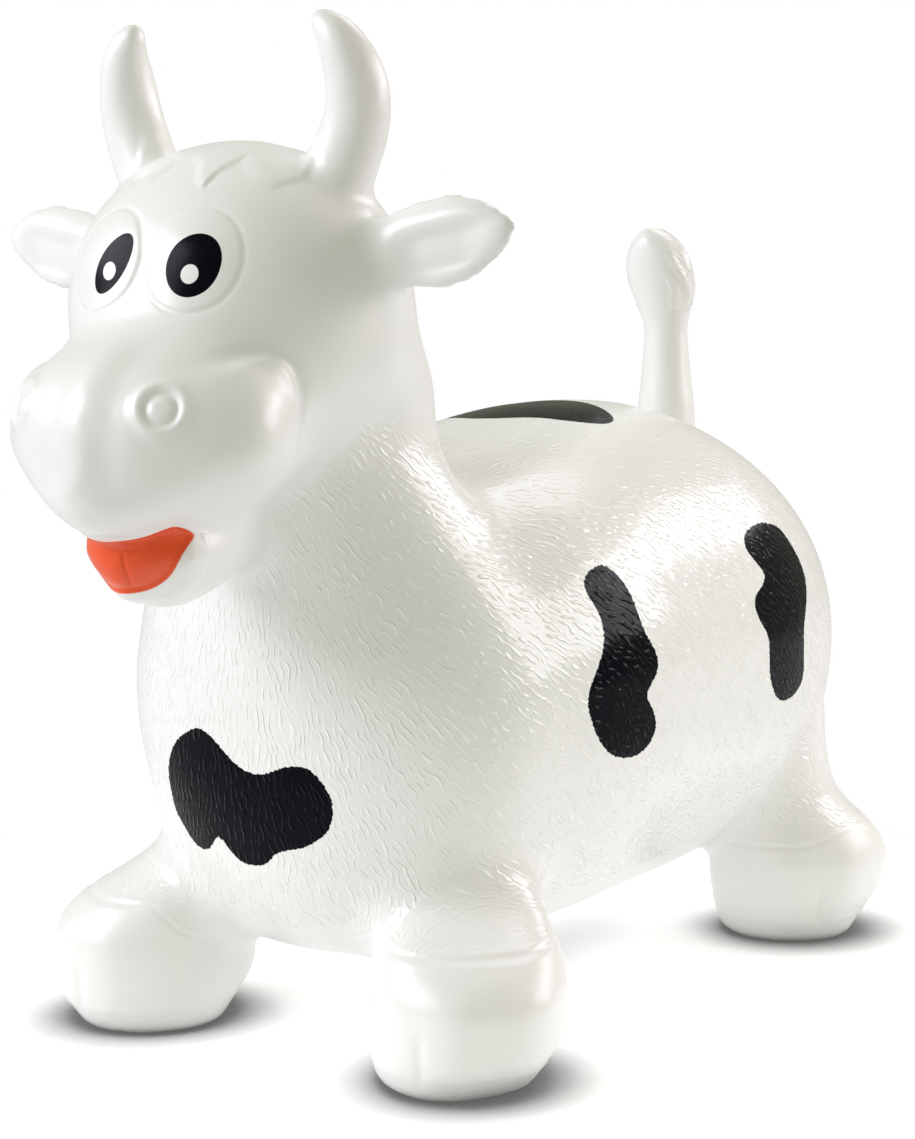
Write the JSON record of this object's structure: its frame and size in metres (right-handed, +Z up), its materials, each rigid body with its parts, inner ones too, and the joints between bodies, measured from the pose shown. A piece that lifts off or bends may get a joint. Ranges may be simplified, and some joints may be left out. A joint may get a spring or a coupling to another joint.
{
  "type": "bouncy ride-on animal",
  "caption": "Inflated vinyl cow to sit astride and bounce on, with horns to hold, hooves that squash and an air plug in the belly.",
  "frame": {"origin": "centre of the bounding box in plan, on the floor that the hooves stand on", "axes": "+Z up, -Y the way the animal faces, +X its left side"},
  "size_m": [0.3028, 0.558, 0.4885],
  "materials": {
    "white_vinyl": "glossy soft white vinyl with a raised hair grain on body and legs",
    "black_paint": "glossy black paint",
    "red_paint": "glossy orange-red paint",
    "plug_white": "satin white moulded plug"
  },
  "bodies": {
    "body": {"torso": "white_vinyl", "neck": "white_vinyl", "head": "white_vinyl", "muzzle": "white_vinyl", "lower_jaw": "white_vinyl", "tongue": "red_paint", "forelock": "white_vinyl", "left_horn": "white_vinyl", "right_horn": "white_vinyl", "left_ear": "white_vinyl", "right_ear": "white_vinyl", "left_eye": "black_paint", "right_eye": "black_paint", "front_left_leg": "white_vinyl", "front_right_leg": "white_vinyl", "rear_left_leg": "white_vinyl", "rear_right_leg": "white_vinyl", "tail_shank": "white_vinyl", "tail_tuft": "white_vinyl"},
    "front_left_foot": {"front_left_hoof": "white_vinyl"},
    "front_right_foot": {"front_right_hoof": "white_vinyl"},
    "rear_left_foot": {"rear_left_hoof": "white_vinyl"},
    "rear_right_foot": {"rear_right_hoof": "white_vinyl"},
    "plug": {"valve_plug": "plug_white"}
  },
  "joints": [
    {"name": "front_left_squash", "type": "slide", "parent": "body", "child": "front_left_foot", "axis": [0, 0, 1], "range_m": [0, 0.016], "stiffness_N_per_m": 3000, "springref_m": -0.0015, "deforming": ["front_left_hoof"]},
    {"name": "front_right_squash", "type": "slide", "parent": "body", "child": "front_right_foot", "axis": [0, 0, 1], "range_m": [0, 0.016], "stiffness_N_per_m": 3000, "springref_m": -0.0015, "deforming": ["front_right_hoof"]},
    {"name": "rear_left_squash", "type": "slide", "parent": "body", "child": "rear_left_foot", "axis": [0, 0, 1], "range_m": [0, 0.016], "stiffness_N_per_m": 3000, "springref_m": -0.0015, "deforming": ["rear_left_hoof"]},
    {"name": "rear_right_squash", "type": "slide", "parent": "body", "child": "rear_right_foot", "axis": [0, 0, 1], "range_m": [0, 0.016], "stiffness_N_per_m": 3000, "springref_m": -0.0015, "deforming": ["rear_right_hoof"]},
    {"name": "plug_pull", "type": "slide", "parent": "body", "child": "plug", "axis": [0, 0, -1], "range_m": [0, 0.016]}
  ]
}
